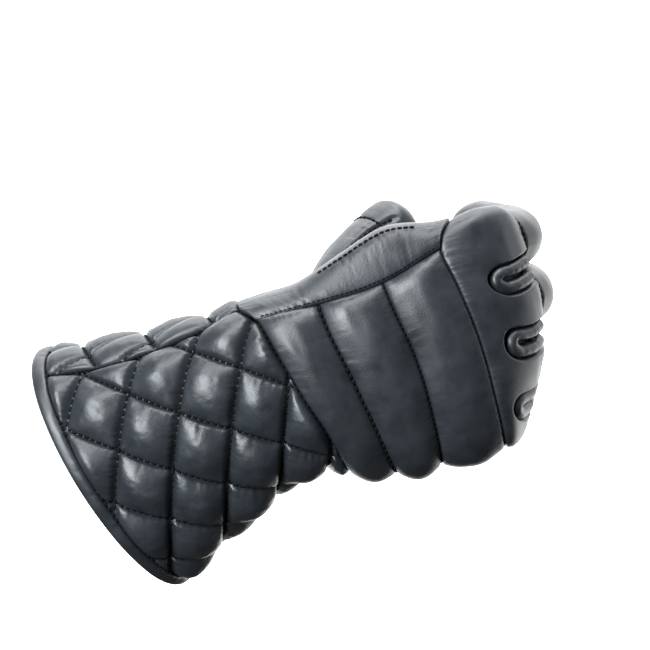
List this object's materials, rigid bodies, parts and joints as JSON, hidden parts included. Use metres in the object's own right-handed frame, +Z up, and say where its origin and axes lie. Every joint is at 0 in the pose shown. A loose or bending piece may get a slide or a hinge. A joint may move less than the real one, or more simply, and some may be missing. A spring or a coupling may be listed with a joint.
{
  "type": "padded fencing glove",
  "caption": "Right-hand padded leather fencing glove closed round a grip, with a quilted flared cuff and channelled back.",
  "frame": {"origin": "middle of the glove's wrist, where a wrist fills it and holds the glove up", "axes": "+Z up along the held grip, towards the thumb side; -Y towards the back of the hand; +X from the wrist towards the knuckles"},
  "size_m": [0.2589, 0.1145, 0.1914],
  "materials": {
    "padded_leather": "satin",
    "plain_leather": "satin"
  },
  "bodies": {
    "root": {"cuff_back": "padded_leather", "cuff_front": "padded_leather", "cuff_binding": "padded_leather", "back_channel_1": "padded_leather", "back_channel_2": "padded_leather", "back_channel_3": "padded_leather", "knuckle_panel": "padded_leather", "index_middle": "padded_leather", "middle_middle": "padded_leather", "ring_middle": "padded_leather", "little_middle": "padded_leather", "index_tip": "padded_leather", "middle_tip": "padded_leather", "ring_tip": "padded_leather", "little_tip": "padded_leather", "thumb_base": "padded_leather", "thumb_tip": "padded_leather", "side_band": "plain_leather", "palm_panel": "plain_leather", "fourchette_1": "plain_leather", "fourchette_2": "plain_leather", "fourchette_3": "plain_leather", "index_base": "plain_leather", "middle_base": "plain_leather", "ring_base": "plain_leather", "little_base": "plain_leather"}
  },
  "joints": []
}
